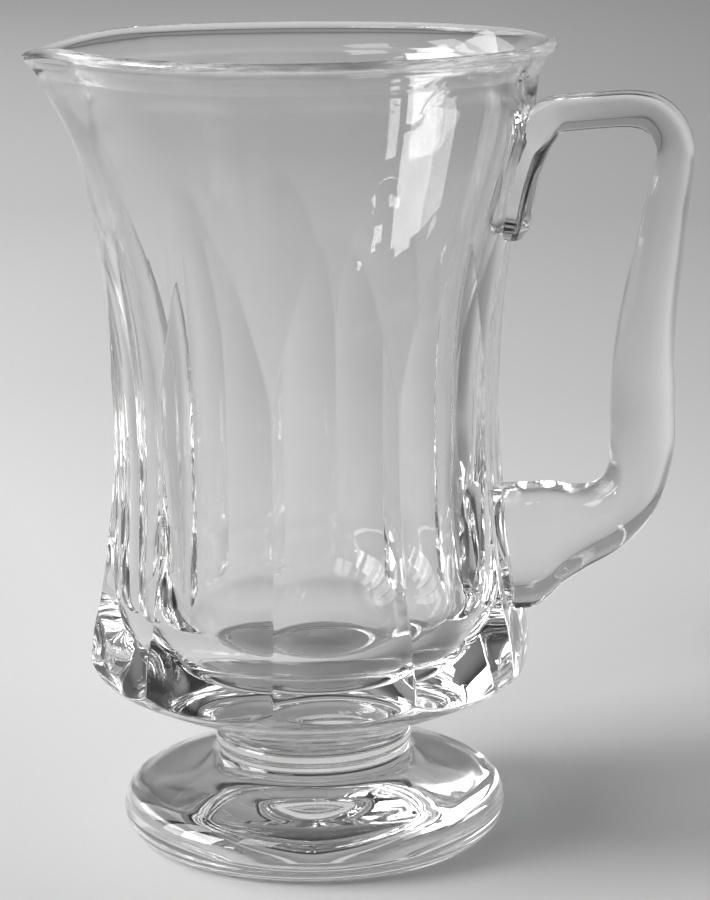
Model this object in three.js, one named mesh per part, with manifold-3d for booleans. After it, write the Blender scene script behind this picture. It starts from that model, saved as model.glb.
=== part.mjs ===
// A footed glass pitcher: a fluted bowl with a pouring lip, a collar, a thick disc foot and an
// applied handle. Millimetres, +Z up. The origin is the centre of the foot's resting face, the
// handle lies along +X and the pouring lip along -X.
import * as THREE from "three";
import { mergeVertices } from "three/addons/utils/BufferGeometryUtils.js";
import Module from "manifold-3d";

const wasm = await Module();
wasm.setup();

// Whole pitcher
const rimHeight = 197.2; // level of the rim away from the pouring lip
const seamGap = 0.3; // between two gathers that are fused in the glass

// Foot: a thick round-edged disc that rises in a hollow curve to the neck
const footRadius = 47.9;
const footEdge = 7.2; // radius of the round edge
const footHeight = 22.1;
const footSaddle = 15.4; // level that the hollow curve is drawn down to
const footSplay = 34; // radius where it turns out over the disc
const neckRadius = 23.5;

// Collar: the low bulging wafer between foot and bowl
const collarHeight = 3.6;
const collarBulge = 1.2;

// Bowl outside, before it is cut
const baseRadius = 56.2;
const baseHeight = 50.3; // level where the underside has turned upright
const baseCorner = 11; // radius of that turn
const baseSlope = THREE.MathUtils.degToRad(29); // climb of the underside where the turn starts
const undersideRun = 13; // how far the underside keeps that slope on its way in
const undersideRise = 6; // how far it rises from the collar before it splays
const undersideLean = 3; // how far it leans out meanwhile
const throatRadius = 56.9; // just under the flare of the rim
const throatBelowRim = 7.6;
const rimRadius = 61.1;
const rimBead = 1.5; // radius of the fire-polished edge
const wallSweep = 2.6; // power of the wall's outward sweep above the waist
const wallTurn = 1.8; // how much of that sweep comes before the throat

// Flutes: flat across, hollow lengthways, cut all round the bowl
const fluteCount = 10;
const waistHeight = 105;
const fluteWaist = 45.5; // from the axis to the middle of a flute at the waist
const fluteSweep = 225; // radius of the lengthways hollow above the waist
const fluteFootHeight = 44;
const fluteFoot = 52.8; // from the axis to the middle of a flute at its foot
const meetHeight = 116; // level where neighbouring flutes part and their arches begin

// Lengthways hollow below the waist: share of the swell left at a share of the climb
const fluteHollow = [[0.16, 0.86], [0.33, 0.55], [0.54, 0.3], [0.79, 0.08]];

// Hollow of the bowl
const hollowRadius = 38; // above the rounded corner of the floor
const hollowWaist = 38.9;
const hollowWaistHeight = 103;
const hollowFloor = 42;
const hollowCorner = 22;
const throatWall = 3.8; // thickness of the wall under the flare of the rim

// Pouring lip: two straight sides that run out from the rim to a blunt beak
const lipReach = 7.4; // from the round rim to the tip of the beak
const lipSpread = THREE.MathUtils.degToRad(37); // from the middle to where a side leaves the rim
const lipBlunt = THREE.MathUtils.degToRad(9); // over which the beak is rounded
const lipRoot = 26; // height of wall that is drawn out
const lipDrop = 3.6;
const crestRise = 1.2; // how far the rim climbs on its way to the lip
const crestSpread = THREE.MathUtils.degToRad(100); // from the middle of the lip to where that starts

// Handle: a drawn rod, thick at the lower seal, thin at the top, its tail pressed flat on the wall
const handleReach = 94.2; // from the axis to the outermost point
const gripReach = 82; // from the axis to the middle of the grip
const armBelowRim = 11.4;
const armThick = 8.4;
const armWidth = 13.2;
const gripThick = 15.5;
const gripWidth = 17.6;
const sealTop = 88.8;
const sealBottom = 58.2;
const sealReach = 57; // from the axis to the end of the thick part of the lower seal
const sealWidth = 19;
const tailLength = 35.6; // below the top of the arm
const tailThick = 4.4;
const tailWidth = 24;

// Fineness of the curved surfaces
const turns = 70;
const crowding = 0.35; // how far the turned rows close up towards the pouring lip
const wallRows = 11;
const hollowRows = 10;
const arcRows = 4;
const curveRows = 7;
const rodSides = 18;
const rodSteps = 60;

const collarBottom = footHeight + seamGap;
const collarTop = collarBottom + collarHeight;
const bowlBottom = collarTop + seamGap;
const throatHeight = rimHeight - throatBelowRim;
const waistCorner = fluteWaist / Math.cos(Math.PI / fluteCount);
const armTop = rimHeight - armBelowRim;
const tailEnd = armTop - tailLength;

const glass = new THREE.MeshStandardMaterial({
  color: 0xe9eeee,
  roughness: 0.03,
  metalness: 0,
  transparent: true,
  opacity: 0.35,
});

const point = (radius, height) => new THREE.Vector2(radius, height);

function toSolid(geometry) {
  const bare = geometry.clone();
  bare.deleteAttribute("normal");
  bare.deleteAttribute("uv");
  const merged = mergeVertices(bare, 1e-4);
  const vertProperties = merged.attributes.position.array;
  const triVerts = new Uint32Array(merged.index.array);
  return new wasm.Manifold(new wasm.Mesh({ numProp: 3, vertProperties, triVerts }));
}

function toMesh(name, solid) {
  const { vertProperties, triVerts } = solid.getMesh();
  const geometry = new THREE.BufferGeometry();
  geometry.setAttribute("position", new THREE.BufferAttribute(vertProperties, 3));
  geometry.setIndex(new THREE.BufferAttribute(triVerts, 1));
  geometry.computeVertexNormals();
  const mesh = new THREE.Mesh(geometry, glass.clone());
  mesh.name = name;
  return mesh;
}

// A closed profile of radius and height, turned about the Z axis
function turned(profile) {
  return new THREE.LatheGeometry(profile, turns).rotateX(Math.PI / 2);
}

// A radius that sweeps outwards from low at lowHeight to high at the throat
function sweep(height, lowHeight, low, high) {
  const rise = Math.max(0, height - lowHeight) / (throatHeight - lowHeight);
  return low + (high - low) * rise ** wallSweep * (1 + wallTurn * (1 - rise));
}

const wallRadius = (height) => sweep(height, meetHeight, waistCorner, throatRadius);

// Underside and wall of the uncut bowl up to the throat, all moved out by grow
function wallProfile(grow) {
  const collar = point(neckRadius + grow, bowlBottom - grow);
  const hub = point(baseRadius - baseCorner, baseHeight);
  const spoke = baseCorner + grow;
  const turn = point(hub.x + spoke * Math.sin(baseSlope), hub.y - spoke * Math.cos(baseSlope));
  const underside = new THREE.CubicBezierCurve(
    collar,
    point(collar.x + undersideLean, collar.y + undersideRise),
    point(turn.x - undersideRun * Math.cos(baseSlope), turn.y - undersideRun * Math.sin(baseSlope)),
    turn,
  );
  const corner = new THREE.EllipseCurve(hub.x, hub.y, spoke, spoke, baseSlope - Math.PI / 2, 0);
  const wall = [];
  const first = (waistHeight + meetHeight) / 2;
  for (let i = 0; i <= wallRows; i++) {
    const height = first + ((throatHeight - first) * i) / wallRows;
    wall.push(point(wallRadius(height) + grow, height));
  }
  // Below the first row the wall is stock that the flutes take away
  wall[0].x += rimBead;
  const turning = corner.getPoints(arcRows).slice(1);
  return [point(0, collar.y), ...underside.getPoints(curveRows), ...turning, ...wall];
}

// Flare and rounded edge of the rim, from the outer throat over to the inner one
function rimProfile() {
  const centre = point(rimRadius - rimBead, rimHeight - rimBead);
  const innerThroat = throatRadius - throatWall;
  const midFlare = throatHeight + (throatBelowRim - rimBead) / 2;
  const leave = -Math.PI / 5;
  const rim = new THREE.Path();
  rim.moveTo(throatRadius, throatHeight);
  rim.quadraticCurveTo(
    throatRadius + rimBead,
    midFlare,
    centre.x + rimBead * Math.cos(leave),
    centre.y + rimBead * Math.sin(leave),
  );
  rim.absarc(centre.x, centre.y, rimBead, leave, Math.PI, false);
  rim.quadraticCurveTo(innerThroat + rimBead, midFlare, innerThroat, throatHeight);
  return rim.getPoints(arcRows).slice(1);
}

// Wall, rounded corner and floor of the hollow, from the throat down to the axis
function hollowProfile() {
  const wall = [];
  for (let i = 1; i <= hollowRows; i++) {
    const height = throatHeight - ((throatHeight - hollowWaistHeight) * i) / hollowRows;
    wall.push(point(sweep(height, hollowWaistHeight, hollowWaist, throatRadius - throatWall), height));
  }
  const hub = point(hollowRadius - hollowCorner, hollowFloor + hollowCorner);
  const floor = new THREE.Path();
  floor.moveTo(hollowRadius, hub.y);
  floor.absarc(hub.x, hub.y, hollowCorner, 0, -Math.PI / 2, true);
  floor.lineTo(0, hollowFloor);
  return [...wall, ...floor.getPoints(arcRows)];
}

// Share of the lip's reach at an angle off its middle: 1 at the beak, 0 beyond its straight sides
function lipShare(angle) {
  const outline = (off) => 1 / Math.cos(Math.max(0, lipSpread - off)) - 1;
  return outline(Math.hypot(angle, lipBlunt)) / outline(lipBlunt);
}

// Share of the rim's climb at an angle off the middle of the lip
function crestShare(angle) {
  return Math.cos((Math.min(Math.abs(angle), crestSpread) / crestSpread) * (Math.PI / 2)) ** 2;
}

// Closes the turned rows up towards the pouring lip, where the flared wall is drawn out straight
function drawLip(geometry) {
  const rows = geometry.attributes.position;
  const flare = rimRadius - throatRadius;
  for (let i = 0; i < rows.count; i++) {
    const radius = Math.hypot(rows.getX(i), rows.getY(i));
    const height = rows.getZ(i);
    const even = Math.atan2(-rows.getY(i), -rows.getX(i));
    const angle = even - crowding * Math.sin(even);
    const draw = Math.max(0, height - rimHeight + lipRoot) / lipRoot;
    const flared = Math.max(0, height - throatHeight) / throatBelowRim;
    const reach = lipShare(angle) * ((lipReach + flare) * draw - flare * flared);
    const climb = (crestRise * crestShare(angle) - lipDrop * lipShare(angle)) * draw ** 2;
    const drawn = radius + reach;
    rows.setXYZ(i, -drawn * Math.cos(angle), -drawn * Math.sin(angle), height + climb);
  }
  return geometry;
}

// One flute's cutter: everything beyond a face that is flat across and curved lengthways. It ends
// below the stretch of wall that is drawn out for the lip.
function fluteCutter(grow) {
  const near = fluteWaist + grow;
  const foot = fluteFoot + grow;
  const climb = waistHeight - fluteFootHeight;
  const beyond = baseRadius + throatRadius;
  const low = bowlBottom;
  const top = rimHeight - lipRoot;
  const rise = Math.asin((top - waistHeight) / fluteSweep);
  const hollow = fluteHollow.map(([up, left]) => {
    return point(near + (foot - near) * left, fluteFootHeight + climb * up);
  });
  const face = new THREE.Shape();
  face.moveTo(beyond, low);
  face.lineTo(foot, low);
  face.lineTo(foot, fluteFootHeight);
  face.splineThru([...hollow, point(near, waistHeight)]);
  face.absarc(near + fluteSweep, waistHeight, fluteSweep, Math.PI, Math.PI - rise, true);
  face.lineTo(beyond, top);
  const extent = { depth: 2 * beyond, bevelEnabled: false, curveSegments: arcRows };
  const cutter = new THREE.ExtrudeGeometry(face, extent);
  return toSolid(cutter.rotateX(Math.PI / 2).translate(0, beyond, 0));
}

function cutFlutes(blank, grow) {
  const cutter = fluteCutter(grow);
  let cut = blank;
  for (let i = 0; i < fluteCount; i++) {
    cut = cut.subtract(cutter.rotate([0, 0, (360 / fluteCount) * i]));
  }
  return cut;
}

function makeBowl() {
  const profile = [...wallProfile(0), ...rimProfile(), ...hollowProfile()];
  return cutFlutes(toSolid(drawLip(turned(profile))), 0);
}

// The space that the bowl takes up below its throat, grown by the seam's gap
function bowlSpace() {
  const profile = [...wallProfile(seamGap), point(0, throatHeight)];
  return cutFlutes(toSolid(drawLip(turned(profile))), seamGap);
}

function makeCollar() {
  const middle = (collarBottom + collarTop) / 2;
  const quarter = Math.PI / 2;
  const bulge = new THREE.EllipseCurve(neckRadius, middle, collarBulge, collarHeight / 2, -quarter, quarter);
  return toSolid(turned([point(0, collarBottom), ...bulge.getPoints(curveRows), point(0, collarTop)]));
}

function makeFoot() {
  const edge = footRadius - footEdge;
  const leave = Math.PI * 0.47;
  const foot = new THREE.Path();
  foot.moveTo(0, 0);
  foot.lineTo(edge, 0);
  foot.absarc(edge, footEdge, footEdge, -Math.PI / 2, leave, false);
  foot.bezierCurveTo(footSplay, footSaddle, neckRadius, footSaddle, neckRadius, footHeight);
  foot.lineTo(0, footHeight);
  return toSolid(turned(foot.getPoints(arcRows + 1)));
}

// Middle line of the handle, with its thickness and width, from the lower seal to the tail
function handleStations() {
  const seal = (sealTop + sealBottom) / 2;
  const sealDepth = sealTop - sealBottom;
  const arm = armTop - armThick / 2;
  const bend = handleReach - armThick / 2;
  const span = arm - sealTop;
  const onWall = (height, stand) => wallRadius(height) + stand;
  return [
    [fluteWaist, seal, sealDepth, sealWidth],
    [sealReach - 4, seal + 0.2, sealDepth, sealWidth],
    [sealReach, seal + 2, sealDepth - 2.8, sealWidth],
    [sealReach + 4, seal + 4.1, sealDepth - 7.6, sealWidth - 0.4],
    [sealReach + 9, seal + 5.8, gripThick + 4.4, gripWidth + 0.4],
    [gripReach - 10.3, seal + 8.5, gripThick + 1.5, gripWidth],
    [gripReach - 4.4, seal + 12.9, gripThick - 0.1, gripWidth],
    [gripReach - 0.6, sealTop + 5.2, gripThick - 0.1, gripWidth],
    [gripReach, sealTop + span * 0.14, gripThick + 0.4, gripWidth],
    [gripReach, sealTop + span * 0.24, gripThick + 0.2, gripWidth],
    [gripReach + 0.2, sealTop + span * 0.36, gripThick - 0.7, gripWidth - 0.6],
    [gripReach + 1.5, sealTop + span * 0.49, gripThick - 2.1, gripWidth - 1.2],
    [gripReach + 3.3, sealTop + span * 0.61, gripThick - 3.3, gripWidth - 2],
    [bend - 2.8, sealTop + span * 0.74, armThick + 2.5, armWidth + 1.6],
    [bend - 0.9, arm - 13.8, armThick + 1.2, armWidth + 0.8],
    [bend - 0.5, arm - 9.3, armThick + 0.5, armWidth + 0.4],
    [bend - 2, arm - 4.5, armThick + 0.2, armWidth + 0.2],
    [bend - 5.2, arm - 1.2, armThick + 0.2, armWidth],
    [bend - 10, arm + 0.2, armThick - 0.2, armWidth],
    [bend - 18.2, arm - 0.2, armThick, armWidth],
    [onWall(arm, 8.7), arm - 0.2, armThick + 0.1, armWidth + 0.6],
    [onWall(arm, 4.7), arm - 0.4, armThick + 0.4, armWidth + 1.4],
    [onWall(arm, 2.1), arm - 1.6, armThick + 1.1, armWidth + 2.6],
    [onWall(arm - 5, 1.5), arm - 4.8, armThick + 0.1, armWidth + 4],
    [onWall(arm - 9.6, 1.5), arm - 9.6, tailThick + 2, armWidth + 6],
    [onWall(arm - 14, 1.7), arm - 14, tailThick + 0.2, armWidth + 8],
    [onWall(arm - 22, 1.6), arm - 22, tailThick, tailWidth - 1],
    [onWall(tailEnd + 3, 1.6), tailEnd + 3, tailThick - 0.2, tailWidth],
    [onWall(tailEnd + 0.8, 1.2), tailEnd + 0.8, tailThick - 1, tailWidth * 0.84],
    [onWall(tailEnd, 1), tailEnd, tailThick * 0.36, tailWidth * 0.5],
  ];
}

// The rod is drawn in reach, height and distance round the bowl's axis, so the tail hugs the wall
function makeHandle() {
  const stations = handleStations();
  const places = stations.map(([reach, height]) => new THREE.Vector3(reach, 0, height));
  const girths = stations.map(([, , thick, wide]) => new THREE.Vector3(thick, wide, 0));
  const line = new THREE.CatmullRomCurve3(places);
  const girth = new THREE.CatmullRomCurve3(girths);
  const rod = new THREE.CylinderGeometry(1, 1, 1, rodSides, rodSteps);
  const skin = rod.attributes.position;
  for (let i = 0; i < skin.count; i++) {
    const along = 0.5 - skin.getY(i);
    const middle = line.getPoint(along);
    const ahead = line.getTangent(along);
    const { x: thick, y: wide } = girth.getPoint(along);
    const out = (skin.getX(i) * thick) / 2;
    const round = (skin.getZ(i) * wide) / 2 / middle.x;
    const reach = middle.x + out * ahead.z;
    skin.setXYZ(i, reach * Math.cos(round), reach * Math.sin(round), middle.z - out * ahead.x);
  }
  return toSolid(rod).subtract(bowlSpace());
}

const pitcher = new THREE.Group();
pitcher.add(toMesh("bowl", makeBowl()));
pitcher.add(toMesh("collar", makeCollar()));
pitcher.add(toMesh("foot", makeFoot()));
pitcher.add(toMesh("handle", makeHandle()));

export default pitcher;
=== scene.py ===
# A footed glass pitcher in one fused body of clear glass, on a pale floor in soft window light.
# Metres, +Z up. The origin is the centre of the foot's resting face, the handle lies along +X
# and the pouring lip along -X.
import math
import bpy
from mathutils import Matrix, Vector


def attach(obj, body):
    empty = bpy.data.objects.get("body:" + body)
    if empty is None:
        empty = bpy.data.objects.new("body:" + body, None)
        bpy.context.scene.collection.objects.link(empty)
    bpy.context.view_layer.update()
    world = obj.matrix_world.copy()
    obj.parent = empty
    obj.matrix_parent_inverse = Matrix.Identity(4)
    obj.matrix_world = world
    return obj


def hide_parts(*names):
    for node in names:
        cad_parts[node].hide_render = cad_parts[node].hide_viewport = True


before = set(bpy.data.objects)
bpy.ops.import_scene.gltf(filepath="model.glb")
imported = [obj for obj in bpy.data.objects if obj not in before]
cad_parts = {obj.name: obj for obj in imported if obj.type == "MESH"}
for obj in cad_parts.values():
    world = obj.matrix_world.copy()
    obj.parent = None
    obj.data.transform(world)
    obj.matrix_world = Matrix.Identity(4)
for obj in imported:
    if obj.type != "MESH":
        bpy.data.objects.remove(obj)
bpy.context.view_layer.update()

# Whole pitcher
RIM_HEIGHT = 0.1972
MELT = 0.0003  # how far the fused gathers soften each other's edge

# Foot
FOOT_EDGE = 0.0072
FOOT_RADIUS = 0.0479
FOOT_HEIGHT = 0.0222
FOOT_SADDLE = 0.0154
FOOT_SPLAY = 0.0325
FOOT_FLARE = 0.0008  # how far the neck opens on its way down
FOOT_BELL = 0.0018  # how full the curve from neck to disc is
FOOT_SHOULDER = math.radians(84.6)  # where the curve meets the round edge
NECK_RADIUS = 0.0235
FOOT_HOLLOW_RADIUS = 0.021
FOOT_HOLLOW_DEPTH = 0.0011
FOOT_CLEAR = 0.00015  # air under the foot

# Collar
COLLAR_HEIGHT = 0.0039
COLLAR_BULGE = 0.001
COLLAR_ROUND = math.radians(78)  # how far up and down the bulge is carried

# Bowl outside, before it is cut
BASE_RADIUS = 0.0562
BASE_HEIGHT = 0.0503
BASE_CORNER = 0.011
BASE_SLOPE = math.radians(29)
UNDERSIDE_RUN = 0.013
UNDERSIDE_RISE = 0.006
UNDERSIDE_LEAN = 0.003
THROAT_RADIUS = 0.0569
THROAT_BELOW_RIM = 0.0076
RIM_RADIUS = 0.0611
RIM_BEAD = 0.0015
BEAD_ARRIVE = math.radians(135)  # where the inner wall meets the bead
BEAD_LEAVE = math.radians(-48)  # where the outer wall leaves it
WALL_SWEEP = (2.6, 1.8)  # how late and how fully the wall opens to the throat
HOLLOW_SWEEP = (2.25, 1.6)  # the same for the inside

# Flutes
FLUTE_COUNT = 10
WAIST_HEIGHT = 0.105
FLUTE_WAIST = 0.0455
FLUTE_SWEEP = 0.225
FLUTE_FOOT_HEIGHT = 0.044
FLUTE_FOOT = 0.0528
MEET_HEIGHT = 0.116
FLUTE_HOLLOW = ((0, 1), (0.16, 0.86), (0.33, 0.55), (0.54, 0.3), (0.79, 0.08), (1, 0))
RIDGE_EASE = 0.0002  # polish on the ridge between two flutes
ARCH_EASE = 0.00006  # polish on the arched edge of a flute
SCALLOP_EASE = 0.0003  # polish on the scalloped edge round the base
ARCH_ROWS = (0.0007, 0.0003, 0, -0.0003, -0.0007)  # close rows at an arched edge
ARCH_CLEAR = 0.0014  # where the even rows end, off an arched edge
SCALLOP_ROWS = (0.0002, 0.0005, 0.0009)  # close rows at the scalloped edge

# Hollow of the bowl
HOLLOW_RADIUS = 0.038
HOLLOW_WAIST = 0.0389
HOLLOW_WAIST_HEIGHT = 0.103
HOLLOW_FLOOR = 0.042
HOLLOW_CORNER = 0.022
THROAT_WALL = 0.0038

# Pouring lip
LIP_REACH = 0.0074
LIP_SPREAD = math.radians(37)
LIP_BLUNT = math.radians(9)
LIP_ROOT = 0.026
LIP_DROP = 0.0036
CREST_RISE = 0.0012
CREST_SPREAD = math.radians(100)

# Handle
HANDLE_REACH = 0.0942
GRIP_REACH = 0.082
ARM_BELOW_RIM = 0.0114
ARM_THICK = 0.0084
ARM_WIDTH = 0.0132
GRIP_THICK = 0.0155
GRIP_WIDTH = 0.0176
SEAL_TOP = 0.0888
SEAL_BOTTOM = 0.0582
SEAL_REACH = 0.057
SEAL_WIDTH = 0.019
TAIL_LENGTH = 0.0356
TAIL_THICK = 0.0044
TAIL_WIDTH = 0.024

# Fineness of the sheets
RIDGE_OFFSETS = (0, 0.25, 0.5, 0.9, 1.5, 2.3, 3.3, 4.5, 5.8, 7.2, 8.6, 10, 11.4, 12.8, 14.2, 15.5, 16.8)
ROD_SIDES = 48
ROD_STEPS = 190

# Glass
GLASS_GREY = 0.917
GLASS_BEND = 1.5
HAZE_SCALE = 60
HAZE_MOST = 0.02  # roughness where the surface is least clean
RIPPLE_SCALE = 55
RIPPLE_STRENGTH = 0.3
RIPPLE_DEPTH = 0.0003
LIGHT_BOUNCES = 32

# Camera
CAMERA_PLACE = (0.1253, -0.7046, 0.2565)
CAMERA_TURN = math.radians(9.17)
CAMERA_DIP = math.radians(12.589)
CAMERA_ROLL = math.radians(-0.819)
CAMERA_LENS = 118.88

# Room: greys by the sine of the height above the horizon, and the side that is paler
ROOM_BANDS = (
    (0, 0.3), (0.14, 0.3), (0.25, 0.42), (0.36, 0.45),
    (0.43, 0.05), (0.72, 0.04), (0.84, 0.42), (1, 0.75),
)
PALE_SIDE = (-0.6, 0.8, 0)
PALE_SPREAD = (-0.4, 1, 0.25, 1)

# Floor: painted light and shade graded into its grey, from left to right, by distance away and by distance
# to the near left
FLOOR_RADIUS = 4.5
FLOOR_GRAIN = 900  # fine mottling
FLOOR_SHADE_ACROSS = (-0.3, 0.3, 0.9, 0.7)
FLOOR_SHADE_AWAY = (-0.5, 4.5)
FLOOR_SHADE_BANDS = (
    (0, 0.6), (0.06, 0.75), (0.091, 0.93), (0.124, 1), (0.16, 0.97), (0.21, 0.86),
    (0.32, 0.76), (0.441, 0.82), (0.7, 1.05), (0.75, 0.85), (1, 0.7),
)
NEAR_LEFT = (0.9, 0.4, 0)
NEAR_LEFT_RUN = (-0.3, 0)
NEAR_LEFT_SHADE_BANDS = ((0, 0.5), (0.33, 0.58), (0.53, 0.72), (0.73, 0.9), (0.93, 1))
PAINTED_SHADOW_MIDDLE = (0.25, 0.185, 0)  # middle of a painted shadow, where the long soft shadow ends
PAINTED_SHADOW_SPREAD = (0.07, 0.165, 0.55, 1)

# Panes: azimuth, height above the horizon, width and depth in degrees, and brightness
PANE_DISTANCE = 3.0
PANE_AIM = 0.1
PANES = {
    "pane_front": (-154.5, 20, 23, 27, 15.5),
    "pane_middle": (-174, 27, 16, 41, 6.2),
    "pane_back": (156, 27, 24, 32, 3.6),
    "pane_low": (-132, 10, 6, 3, 22),
    "pane_side": (-120, 40, 20, 20, 5),
}

COLLAR_TOP = FOOT_HEIGHT + COLLAR_HEIGHT
THROAT_HEIGHT = RIM_HEIGHT - THROAT_BELOW_RIM
HALF_FLUTE = math.pi / FLUTE_COUNT


def blend(share, first, last):
    return first + (last - first) * share


def steps(count, first, last):
    """count equal steps from first to last, without first."""
    return [blend(i / count, first, last) for i in range(1, count + 1)]


def on_circle(hub, radius, angle):
    return (hub[0] + radius * math.cos(angle), hub[1] + radius * math.sin(angle))


def arc(hub, radius, first, last, count):
    """Points along an arc, without its first."""
    return [on_circle(hub, radius, angle) for angle in steps(count, first, last)]


def drawn_curve(points, count):
    """Points along a quadratic or cubic curve of these control points, without its first."""
    curve = []
    for share in steps(count, 0, 1):
        level = [Vector(p) for p in points]
        while len(level) > 1:
            level = [a.lerp(b, share) for a, b in zip(level, level[1:])]
        curve.append(tuple(level[0]))
    return curve


def between(table, x):
    """The value at x of a line through the sorted pairs of table."""
    for (x0, y0), (x1, y1) in zip(table, table[1:]):
        if x <= x1:
            return blend((x - x0) / (x1 - x0), y0, y1)
    return table[-1][1]


def crossing(gap, low, high):
    """Where gap, which is positive at low and negative at high, is nil."""
    for _ in range(40):
        middle = (low + high) / 2
        if gap(middle) > 0:
            low = middle
        else:
            high = middle
    return (low + high) / 2


def soft_least(a, b, ease):
    """The smaller of two radii, rounded off where they are within ease of each other."""
    near = max(ease - abs(a - b), 0) / ease
    return min(a, b) - near * near * ease / 4


def sweep(height, low_height, low, high, curve):
    """A radius that opens from low to high between low_height and the throat."""
    rise = max(0, height - low_height) / (THROAT_HEIGHT - low_height)
    return low + (high - low) * rise ** curve[0] * (1 + curve[1] * (1 - rise))


def flute_face(height):
    """Distance from the axis to the middle of a flute."""
    if height >= WAIST_HEIGHT:
        return FLUTE_WAIST + FLUTE_SWEEP - math.sqrt(FLUTE_SWEEP ** 2 - (height - WAIST_HEIGHT) ** 2)
    climb = (height - FLUTE_FOOT_HEIGHT) / (WAIST_HEIGHT - FLUTE_FOOT_HEIGHT)
    knots = FLUTE_HOLLOW
    slopes = [(b[1] - a[1]) / (b[0] - a[0]) for a, b in zip(knots, knots[1:])]
    tangents = [slopes[0]] + [(a + b) / 2 for a, b in zip(slopes, slopes[1:])] + [0]
    if climb <= 0:
        left = 1 + slopes[0] * climb
    else:
        i = max(k for k in range(len(slopes)) if knots[k][0] <= climb)
        run = knots[i + 1][0] - knots[i][0]
        t = (climb - knots[i][0]) / run
        left = (
            knots[i][1] * (1 + 2 * t) * (1 - t) ** 2
            + tangents[i] * run * t * (1 - t) ** 2
            + knots[i + 1][1] * t * t * (3 - 2 * t)
            + tangents[i + 1] * run * t * t * (t - 1)
        )
    return blend(left, FLUTE_WAIST, FLUTE_FOOT)


MEET_RADIUS = flute_face(MEET_HEIGHT) / math.cos(HALF_FLUTE)


def underside():
    """The uncut underside from the collar out to where the blank turns upright, as radius and height."""
    hub = (BASE_RADIUS - BASE_CORNER, BASE_HEIGHT)
    leave = BASE_SLOPE - math.pi / 2
    turn = on_circle(hub, BASE_CORNER, leave)
    collar = (NECK_RADIUS, COLLAR_TOP)
    lean = (NECK_RADIUS + UNDERSIDE_LEAN, COLLAR_TOP + UNDERSIDE_RISE)
    run = (turn[0] - UNDERSIDE_RUN * math.cos(BASE_SLOPE), turn[1] - UNDERSIDE_RUN * math.sin(BASE_SLOPE))
    return [collar] + drawn_curve([collar, lean, run, turn], 60) + arc(hub, BASE_CORNER, leave, 0, 60)


UNDERSIDE = underside()
UNDERSIDE_BY_HEIGHT = [(height, radius) for radius, height in UNDERSIDE]


def blank_radius(height):
    if height >= MEET_HEIGHT:
        return sweep(height, MEET_HEIGHT, MEET_RADIUS, THROAT_RADIUS, WALL_SWEEP)
    if height >= BASE_HEIGHT:
        stock = (MEET_HEIGHT - height) / (MEET_HEIGHT - BASE_HEIGHT)
        return blend(stock, MEET_RADIUS, BASE_RADIUS)
    return between(UNDERSIDE_BY_HEIGHT, height)


def cut_radius(blank, height, off_middle):
    """Radius of the cut bowl at an angle off the middle of a flute, where the blank's is given."""
    here = flute_face(height) / math.cos(off_middle)
    beside = flute_face(height) / math.cos(2 * HALF_FLUTE - off_middle)
    ease = SCALLOP_EASE if height < BASE_HEIGHT else ARCH_EASE
    return soft_least(soft_least(here, beside, RIDGE_EASE), blank, ease)


def outer_column(off_middle):
    """The bowl's outside from the throat down to the collar, at an angle off the middle of a flute."""
    def spare(height):
        return blank_radius(height) - flute_face(height) / math.cos(off_middle)

    arch = crossing(spare, MEET_HEIGHT - 0.0005, THROAT_HEIGHT - 0.012)
    scallop = crossing(lambda height: -spare(height), 0.036, BASE_HEIGHT)
    heights = steps(13, THROAT_HEIGHT, arch + ARCH_CLEAR)
    heights += [arch + step for step in ARCH_ROWS]
    heights += [arch - ARCH_CLEAR] + steps(38, arch - ARCH_CLEAR, scallop + SCALLOP_ROWS[-1])
    heights += [scallop + step for step in reversed(SCALLOP_ROWS[:-1])]
    column = [(cut_radius(blank_radius(h), h, off_middle), h) for h in heights]
    run = [0.0]
    for a, b in zip(UNDERSIDE, UNDERSIDE[1:]):
        run.append(run[-1] + math.dist(a, b))
    across = [(length, p[0]) for length, p in zip(run, UNDERSIDE)]
    upward = [(length, p[1]) for length, p in zip(run, UNDERSIDE)]
    reached = between([(p[1], length) for length, p in zip(run, UNDERSIDE)], scallop)
    lengths = [reached] + [reached - step for step in SCALLOP_ROWS]
    lengths += steps(22, lengths[-1], 0)
    for length in lengths:
        height = between(upward, length)
        column.append((cut_radius(between(across, length), height, off_middle), height))
    return column


def rim_outline():
    """From the inner throat over the bead to the outer throat."""
    bead = (RIM_RADIUS - RIM_BEAD, RIM_HEIGHT - RIM_BEAD)
    inner = (THROAT_RADIUS - THROAT_WALL, THROAT_HEIGHT)
    outer = (THROAT_RADIUS, THROAT_HEIGHT)
    middle = THROAT_HEIGHT + (THROAT_BELOW_RIM - RIM_BEAD) / 2
    start = on_circle(bead, RIM_BEAD, BEAD_ARRIVE)
    end = on_circle(bead, RIM_BEAD, BEAD_LEAVE)
    outline = drawn_curve([inner, (inner[0] + RIM_BEAD, middle), start], 7)
    outline += arc(bead, RIM_BEAD, BEAD_ARRIVE, BEAD_LEAVE, 14)
    outline += drawn_curve([end, (outer[0] + RIM_BEAD, middle), outer], 7)
    return outline


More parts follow.
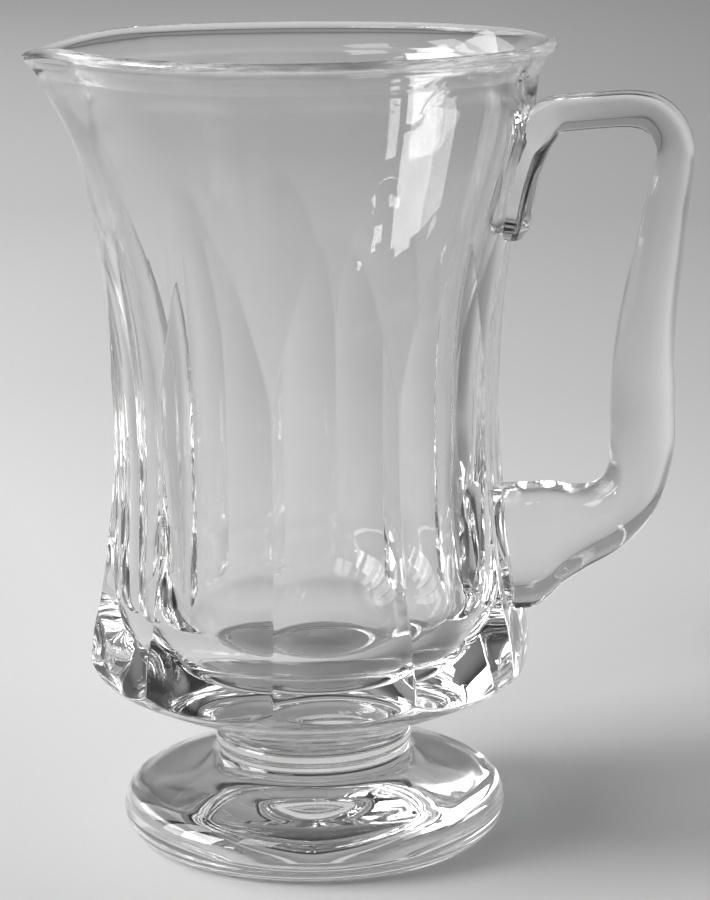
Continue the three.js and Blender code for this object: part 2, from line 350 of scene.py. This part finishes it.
def hollow_outline():
    """From the middle of the hollow's floor up to the inner throat."""
    hub = (HOLLOW_RADIUS - HOLLOW_CORNER, HOLLOW_FLOOR + HOLLOW_CORNER)
    outline = [(radius, HOLLOW_FLOOR) for radius in [0] + steps(6, 0, hub[0])]
    outline += arc(hub, HOLLOW_CORNER, -math.pi / 2, 0, 18)
    for height in steps(6, hub[1], HOLLOW_WAIST_HEIGHT):
        share = (height - hub[1]) / (HOLLOW_WAIST_HEIGHT - hub[1])
        outline.append((blend(share, HOLLOW_RADIUS, HOLLOW_WAIST), height))
    for height in steps(16, HOLLOW_WAIST_HEIGHT, THROAT_HEIGHT):
        radius = sweep(height, HOLLOW_WAIST_HEIGHT, HOLLOW_WAIST, THROAT_RADIUS - THROAT_WALL, HOLLOW_SWEEP)
        outline.append((radius, height))
    return outline


def foot_outline():
    """From the bowl's seam over the collar and the foot to the middle of the foot's underside."""
    middle = (FOOT_HEIGHT + COLLAR_TOP) / 2
    outline = []
    for turn in steps(12, COLLAR_ROUND, -COLLAR_ROUND):
        height = middle + COLLAR_HEIGHT / 2 * math.sin(turn)
        outline.append((NECK_RADIUS + COLLAR_BULGE * math.cos(turn), height))
    edge = (FOOT_RADIUS - FOOT_EDGE, FOOT_EDGE)
    shoulder = on_circle(edge, FOOT_EDGE, FOOT_SHOULDER)
    neck = (NECK_RADIUS, FOOT_HEIGHT - MELT)
    flare = (NECK_RADIUS + FOOT_FLARE, FOOT_SADDLE + FOOT_BELL)
    outline += drawn_curve([neck, flare, (FOOT_SPLAY, FOOT_SADDLE + FOOT_BELL), shoulder], 24)
    outline += arc(edge, FOOT_EDGE, FOOT_SHOULDER, -math.pi / 2, 20)
    outline += [(radius, 0) for radius in steps(4, edge[0], FOOT_HOLLOW_RADIUS)]
    for radius in steps(8, FOOT_HOLLOW_RADIUS, 0):
        outline.append((radius, FOOT_HOLLOW_DEPTH * (1 - (radius / FOOT_HOLLOW_RADIUS) ** 2)))
    return outline


def lip_share(angle):
    """Share of the lip's reach at an angle off its middle."""
    def outline(off):
        return 1 / math.cos(max(0, LIP_SPREAD - off)) - 1

    return outline(math.hypot(angle, LIP_BLUNT)) / outline(LIP_BLUNT)


def drawn_lip(radius, height, azimuth):
    """A point of the turned wall, moved as the lip is drawn out."""
    angle = math.remainder(azimuth - math.pi, 2 * math.pi)
    flare = RIM_RADIUS - THROAT_RADIUS
    draw = max(0, height - RIM_HEIGHT + LIP_ROOT) / LIP_ROOT
    flared = max(0, height - THROAT_HEIGHT) / THROAT_BELOW_RIM
    share = lip_share(angle)
    crest = math.cos(min(abs(angle), CREST_SPREAD) / CREST_SPREAD * math.pi / 2) ** 2
    radius += share * ((LIP_REACH + flare) * draw - flare * flared)
    height += (CREST_RISE * crest - LIP_DROP * share) * draw ** 2
    return radius, height


def deselect():
    bpy.ops.object.select_all(action="DESELECT")


def sheet(name, columns, rows, place):
    """A flat grid rolled into a closed skin: place gives the point of each column and row."""
    deselect()
    bpy.ops.mesh.primitive_grid_add(x_subdivisions=columns, y_subdivisions=rows - 1, size=1)
    piece = bpy.context.object
    piece.name = name
    for vertex in piece.data.vertices:
        column = round((vertex.co.x + 0.5) * columns)
        row = round((vertex.co.y + 0.5) * (rows - 1))
        vertex.co = place(column % columns, row)
    bpy.ops.object.mode_set(mode="EDIT")
    bpy.ops.mesh.select_all(action="SELECT")
    bpy.ops.mesh.remove_doubles(threshold=0.000005)
    bpy.ops.mesh.normals_make_consistent(inside=False)
    bpy.ops.object.mode_set(mode="OBJECT")
    return piece


def make_body():
    """Bowl, collar and foot as one skin, from the floor of the hollow to the middle of the underside."""
    offsets = [math.radians(offset) for offset in RIDGE_OFFSETS]
    half = [HALF_FLUTE - offset for offset in reversed(offsets)]
    azimuths = []
    columns = []
    shapes = {}
    for flute in range(FLUTE_COUNT):
        middle = 2 * HALF_FLUTE * flute
        for off in [0] + half:
            azimuths.append(middle + off)
            columns.append(off)
        for off in reversed(half[:-1]):
            azimuths.append(middle + 2 * HALF_FLUTE - off)
            columns.append(off)
    inside = hollow_outline() + rim_outline()
    below = foot_outline()
    for off in set(columns):
        shapes[off] = inside + outer_column(off) + below
    rows = len(next(iter(shapes.values())))

    def place(column, row):
        radius, height = shapes[columns[column]][row]
        azimuth = azimuths[column]
        radius, height = drawn_lip(radius, height, azimuth)
        return (radius * math.cos(azimuth), radius * math.sin(azimuth), height)

    return sheet("body", len(azimuths), rows, place)


def wall_at(height):
    return blank_radius(max(height, MEET_HEIGHT))


def handle_stations():
    """Reach, height, thickness, width, heading and fullness of the drawn rod, from lower seal to tail."""
    seal = (SEAL_TOP + SEAL_BOTTOM) / 2
    depth = SEAL_TOP - SEAL_BOTTOM
    arm = RIM_HEIGHT - ARM_BELOW_RIM - ARM_THICK / 2
    bend = HANDLE_REACH - ARM_THICK / 2
    span = arm - SEAL_TOP
    tail = RIM_HEIGHT - ARM_BELOW_RIM - TAIL_LENGTH
    return [
        (FLUTE_WAIST, seal + 0.0002, depth + 0.0002, SEAL_WIDTH, 0, 0.35),
        (SEAL_REACH - 0.005, seal + 0.0006, depth + 0.0002, SEAL_WIDTH, 0, 0.35),
        (SEAL_REACH - 0.0014, seal + 0.0009, depth + 0.0002, SEAL_WIDTH, -1, 0.35),
        (SEAL_REACH + 0.0014, seal + 0.0018, depth - 0.0012, SEAL_WIDTH, 0, 0.35),
        (SEAL_REACH + 0.0054, seal + 0.0042, depth - 0.0064, SEAL_WIDTH - 0.0004, 4, 0.35),
        (SEAL_REACH + 0.0102, seal + 0.0062, GRIP_THICK + 0.0044, GRIP_WIDTH + 0.0006, 14, 0.3),
        (SEAL_REACH + 0.0149, seal + 0.0081, GRIP_THICK + 0.0022, GRIP_WIDTH + 0.0002, 25, 0.25),
        (GRIP_REACH - 0.0059, seal + 0.0111, GRIP_THICK + 0.0003, GRIP_WIDTH, 41, 0.2),
        (GRIP_REACH - 0.003, seal + 0.0147, GRIP_THICK - 0.0005, GRIP_WIDTH, 58, 0.15),
        (GRIP_REACH - 0.001, seal + 0.0198, GRIP_THICK - 0.0008, GRIP_WIDTH, 75, 0.15),
        (GRIP_REACH, SEAL_TOP + span * 0.13, GRIP_THICK + 0.0003, GRIP_WIDTH, 88, 0.15),
        (GRIP_REACH, SEAL_TOP + span * 0.24, GRIP_THICK + 0.0002, GRIP_WIDTH, 90, 0.15),
        (GRIP_REACH + 0.0002, SEAL_TOP + span * 0.36, GRIP_THICK - 0.0007, GRIP_WIDTH - 0.0006, 87, 0.15),
        (GRIP_REACH + 0.0015, SEAL_TOP + span * 0.49, GRIP_THICK - 0.0021, GRIP_WIDTH - 0.0012, 82, 0.15),
        (GRIP_REACH + 0.0033, SEAL_TOP + span * 0.61, GRIP_THICK - 0.0033, GRIP_WIDTH - 0.002, 81, 0.18),
        (bend - 0.0028, SEAL_TOP + span * 0.74, ARM_THICK + 0.0025, ARM_WIDTH + 0.0016, 81, 0.24),
        (bend - 0.0009, arm - 0.0138, ARM_THICK + 0.0012, ARM_WIDTH + 0.0008, 86, 0.32),
        (bend - 0.0006, arm - 0.0093, ARM_THICK + 0.0005, ARM_WIDTH + 0.0004, 100, 0.45),
        (bend - 0.0023, arm - 0.0048, ARM_THICK + 0.0002, ARM_WIDTH + 0.0002, 125, 0.54),
        (bend - 0.0056, arm - 0.0016, ARM_THICK, ARM_WIDTH, 152, 0.62),
        (bend - 0.0102, arm - 0.0004, ARM_THICK - 0.0003, ARM_WIDTH, 173, 0.68),
        (bend - 0.0182, arm - 0.0007, ARM_THICK - 0.0004, ARM_WIDTH, 182, 0.7),
        (wall_at(arm) + 0.0102, arm - 0.0012, ARM_THICK - 0.0004, ARM_WIDTH + 0.0006, 182, 0.7),
        (wall_at(arm) + 0.0059, arm - 0.0016, ARM_THICK, ARM_WIDTH + 0.0014, 192, 0.66),
        (wall_at(arm) + 0.003, arm - 0.0034, ARM_THICK + 0.0014, ARM_WIDTH + 0.0026, 207, 0.6),
        (wall_at(arm - 0.007) + 0.0014, arm - 0.0073, ARM_THICK + 0.0011, ARM_WIDTH + 0.004, 220, 0.5),
        (wall_at(arm - 0.0129) + 0.0009, arm - 0.0129, TAIL_THICK + 0.0028, ARM_WIDTH + 0.0065, 241, 0.55),
        (wall_at(arm - 0.019) + 0.0008, arm - 0.019, TAIL_THICK + 0.0022, ARM_WIDTH + 0.0085, 257, 0.55),
        (wall_at(arm - 0.025) + 0.0008, arm - 0.025, TAIL_THICK + 0.0022, TAIL_WIDTH - 0.001, 260, 0.55),
        (wall_at(tail + 0.003) + 0.0008, tail + 0.003, TAIL_THICK + 0.002, TAIL_WIDTH, 262, 0.55),
        (wall_at(tail + 0.0008) + 0.0008, tail + 0.0008, TAIL_THICK, TAIL_WIDTH * 0.84, 262, 0.5),
        (wall_at(tail) + 0.0008, tail, TAIL_THICK * 0.36, TAIL_WIDTH * 0.5, 262, 0.45),
    ]


def through(points, share):
    """The point at a share of the way along a smooth curve through points."""
    ends = [points[0] * 2 - points[1]] + points + [points[-1] * 2 - points[-2]]
    i = min(int(share * (len(points) - 1)), len(points) - 2)
    t = share * (len(points) - 1) - i
    p0, p1, p2, p3 = ends[i:i + 4]
    d0, d1, d2 = (max(math.sqrt((b - a).length), 0.003) for a, b in ((p0, p1), (p1, p2), (p2, p3)))
    m1 = ((p1 - p0) / d0 - (p2 - p0) / (d0 + d1) + (p2 - p1) / d1) * d1
    m2 = ((p2 - p1) / d1 - (p3 - p1) / (d1 + d2) + (p3 - p2) / d2) * d1
    a = p1 * 2 - p2 * 2 + m1 + m2
    b = p2 * 3 - p1 * 3 - m1 * 2 - m2
    return p1 + m1 * t + b * t ** 2 + a * t ** 3


def make_handle():
    """The rod, drawn in reach, height and distance round the bowl's axis, so the tail hugs the wall."""
    stations = handle_stations()
    line = [Vector(station[:2]) for station in stations]
    girth = [Vector(station[2:4]) for station in stations]
    turns = [Vector(station[4:]) for station in stations]

    def fuller(wave, fullness):
        return math.copysign(abs(wave) ** (1 - fullness), wave)

    def place(side, step):
        share = min(max((step - 1) / (ROD_STEPS - 3), 0), 1)
        middle = through(line, share)
        thick, wide = through(girth, share)
        heading, fullness = through(turns, share)
        heading = math.radians(heading)
        closed = step in (0, ROD_STEPS - 1)
        turn = 2 * math.pi * side / ROD_SIDES
        out = 0 if closed else fuller(math.cos(turn), fullness) * thick / 2
        around = 0 if closed else fuller(math.sin(turn), fullness) * wide / 2 / middle.x
        reach = middle.x + out * math.sin(heading)
        return (reach * math.cos(around), reach * math.sin(around), middle.y - out * math.cos(heading))

    return sheet("handle_rod", ROD_SIDES, ROD_STEPS, place)


def fuse(body, rod):
    """Joins the rod to the body as one skin."""
    deselect()
    bpy.context.view_layer.objects.active = body
    body.select_set(True)
    union = body.modifiers.new("fused", "BOOLEAN")
    union.operation = "UNION"
    union.solver = "EXACT"
    union.object = rod
    bpy.ops.object.modifier_apply(modifier=union.name)
    bpy.data.objects.remove(rod)
    bpy.ops.object.shade_smooth_by_angle(angle=math.radians(40))


def vector_math(tree, operation, vector, fixed):
    """One number from a varying and a fixed vector."""
    node = tree.nodes.new("ShaderNodeVectorMath")
    node.operation = operation
    node.inputs[1].default_value = fixed
    tree.links.new(vector, node.inputs[0])
    return node.outputs["Value"]


def noise(tree, scale, detail):
    """Mottling laid out on the piece's own coordinates."""
    place = tree.nodes.new("ShaderNodeTexCoord")
    texture = tree.nodes.new("ShaderNodeTexNoise")
    texture.inputs["Scale"].default_value = scale
    texture.inputs["Detail"].default_value = detail
    tree.links.new(place.outputs["Object"], texture.inputs["Vector"])
    return texture.outputs["Fac"]


def spread(tree, value, low, high, first, last):
    """value, which runs from low to high, as a value from first to last."""
    node = tree.nodes.new("ShaderNodeMapRange")
    node.inputs["From Min"].default_value = low
    node.inputs["From Max"].default_value = high
    node.inputs["To Min"].default_value = first
    node.inputs["To Max"].default_value = last
    tree.links.new(value, node.inputs["Value"])
    return node.outputs["Result"]


def graded(tree, value, bands):
    """Greys that follow value, given as pairs of place and grey."""
    ramp = tree.nodes.new("ShaderNodeValToRGB")
    marks = ramp.color_ramp.elements
    for place, grey in bands[2:]:
        marks.new(place)
    for mark, (place, grey) in zip(marks, bands):
        mark.position = place
        mark.color = (grey, grey, grey, 1)
    tree.links.new(value, ramp.inputs["Fac"])
    return ramp.outputs["Color"]


def times(tree, first, second):
    node = tree.nodes.new("ShaderNodeMath")
    node.operation = "MULTIPLY"
    tree.links.new(first, node.inputs[0])
    tree.links.new(second, node.inputs[1])
    return node.outputs["Value"]


def clear_glass():
    material = bpy.data.materials.new("clear_glass")
    material.use_nodes = True
    tree = material.node_tree
    shader = tree.nodes["Principled BSDF"]
    shader.inputs["Base Color"].default_value = (GLASS_GREY, GLASS_GREY, GLASS_GREY, 1)
    shader.inputs["IOR"].default_value = GLASS_BEND
    shader.inputs["Transmission Weight"].default_value = 1
    haze = spread(tree, noise(tree, HAZE_SCALE, 3), 0.45, 0.75, 0, HAZE_MOST)
    tree.links.new(haze, shader.inputs["Roughness"])
    ripple = tree.nodes.new("ShaderNodeBump")
    ripple.inputs["Strength"].default_value = RIPPLE_STRENGTH
    ripple.inputs["Distance"].default_value = RIPPLE_DEPTH
    tree.links.new(noise(tree, RIPPLE_SCALE, 1), ripple.inputs["Height"])
    tree.links.new(ripple.outputs["Normal"], shader.inputs["Normal"])
    return material


def floor_with_painted_shade():
    """Pale grey with painted light and shade: darker to the near left and to the right, graded by distance
    away, with a painted shadow where the long soft shadow ends.
    """
    material = bpy.data.materials.new("floor_with_painted_shade")
    material.use_nodes = True
    tree = material.node_tree
    shader = tree.nodes["Principled BSDF"]
    shader.inputs["Roughness"].default_value = 1
    shader.inputs["Specular IOR Level"].default_value = 0
    place = tree.nodes.new("ShaderNodeTexCoord")
    axes = tree.nodes.new("ShaderNodeSeparateXYZ")
    tree.links.new(place.outputs["Object"], axes.inputs["Vector"])
    # painted light and shade: the grey is graded across, away and towards the near left
    across = spread(tree, axes.outputs["X"], *FLOOR_SHADE_ACROSS)
    away = graded(tree, spread(tree, axes.outputs["Y"], *FLOOR_SHADE_AWAY, 0, 1), FLOOR_SHADE_BANDS)
    aside = vector_math(tree, "DOT_PRODUCT", place.outputs["Object"], NEAR_LEFT)
    near_left = graded(tree, spread(tree, aside, *NEAR_LEFT_RUN, 0, 1), NEAR_LEFT_SHADE_BANDS)
    # painted shadow: a soft darker spot off to the right, where the long soft shadow ends
    off = vector_math(tree, "DISTANCE", place.outputs["Object"], PAINTED_SHADOW_MIDDLE)
    painted_shadow = spread(tree, off, *PAINTED_SHADOW_SPREAD)
    grain = spread(tree, noise(tree, FLOOR_GRAIN, 2), 0.3, 0.7, 0.99, 1.01)
    shade = times(tree, times(tree, across, away), times(tree, near_left, painted_shadow))
    tree.links.new(times(tree, shade, grain), shader.inputs["Base Color"])
    return material


def make_camera():
    """Where the photograph was taken from."""
    deselect()
    bpy.ops.object.camera_add(location=CAMERA_PLACE)
    camera = bpy.context.object
    camera.name = "camera"
    turned = Matrix.Rotation(CAMERA_TURN, 4, "Z")
    raised = Matrix.Rotation(math.pi / 2 - CAMERA_DIP, 4, "X")
    rolled = Matrix.Rotation(CAMERA_ROLL, 4, "Z")
    camera.matrix_world = Matrix.Translation(camera.location) @ turned @ raised @ rolled
    camera.data.sensor_fit = "VERTICAL"
    camera.data.sensor_height = 36
    camera.data.lens = CAMERA_LENS
    camera.data.clip_start = 0.01
    bpy.context.scene.camera = camera


def make_floor():
    deselect()
    bpy.ops.mesh.primitive_circle_add(vertices=96, radius=FLOOR_RADIUS, fill_type="NGON")
    floor = bpy.context.object
    floor.name = "floor"
    floor.location.z = -FOOT_CLEAR
    floor.data.materials.append(floor_with_painted_shade())


def window_pane(name, azimuth, elevation, width, depth, brightness):
    """A bright pane that faces the pitcher, placed and sized by the angles at which the pitcher sees it."""
    deselect()
    turn = math.radians(azimuth)
    rise = math.radians(elevation)
    way = Vector((math.cos(turn) * math.cos(rise), math.sin(turn) * math.cos(rise), math.sin(rise)))
    place = way * PANE_DISTANCE + Vector((0, 0, PANE_AIM))
    bpy.ops.object.light_add(type="AREA", location=place)
    lamp = bpy.context.object
    lamp.name = name
    lamp.data.shape = "RECTANGLE"
    lamp.data.size = 2 * PANE_DISTANCE * math.tan(math.radians(width / 2))
    lamp.data.size_y = 2 * PANE_DISTANCE * math.tan(math.radians(depth / 2))
    lamp.data.energy = brightness * math.pi * lamp.data.size * lamp.data.size_y
    lamp.rotation_euler = (-way).to_track_quat("-Z", "Y").to_euler()


def make_room():
    """A pale wall low down, a dark band above it and a lighter ceiling, paler behind and to the left."""
    world = bpy.data.worlds.new("room")
    bpy.context.scene.world = world
    world.use_nodes = True
    tree = world.node_tree
    way = tree.nodes.new("ShaderNodeTexCoord").outputs["Generated"]
    axes = tree.nodes.new("ShaderNodeSeparateXYZ")
    tree.links.new(way, axes.inputs["Vector"])
    walls = graded(tree, axes.outputs["Z"], ROOM_BANDS)
    side = spread(tree, vector_math(tree, "DOT_PRODUCT", way, PALE_SIDE), *PALE_SPREAD)
    background = tree.nodes["Background"]
    tree.links.new(walls, background.inputs["Color"])
    tree.links.new(side, background.inputs["Strength"])


make_camera()
body = make_body()
fuse(body, make_handle())
body.name = "pitcher_glass"
body.data.materials.append(clear_glass())
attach(body, "root")
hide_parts("bowl", "collar", "foot", "handle")
make_floor()
for name, pane in PANES.items():
    window_pane(name, *pane)
make_room()

scene = bpy.context.scene
scene.view_settings.view_transform = "Standard"
scene.cycles.max_bounces = LIGHT_BOUNCES
scene.cycles.glossy_bounces = LIGHT_BOUNCES
scene.cycles.transmission_bounces = LIGHT_BOUNCES
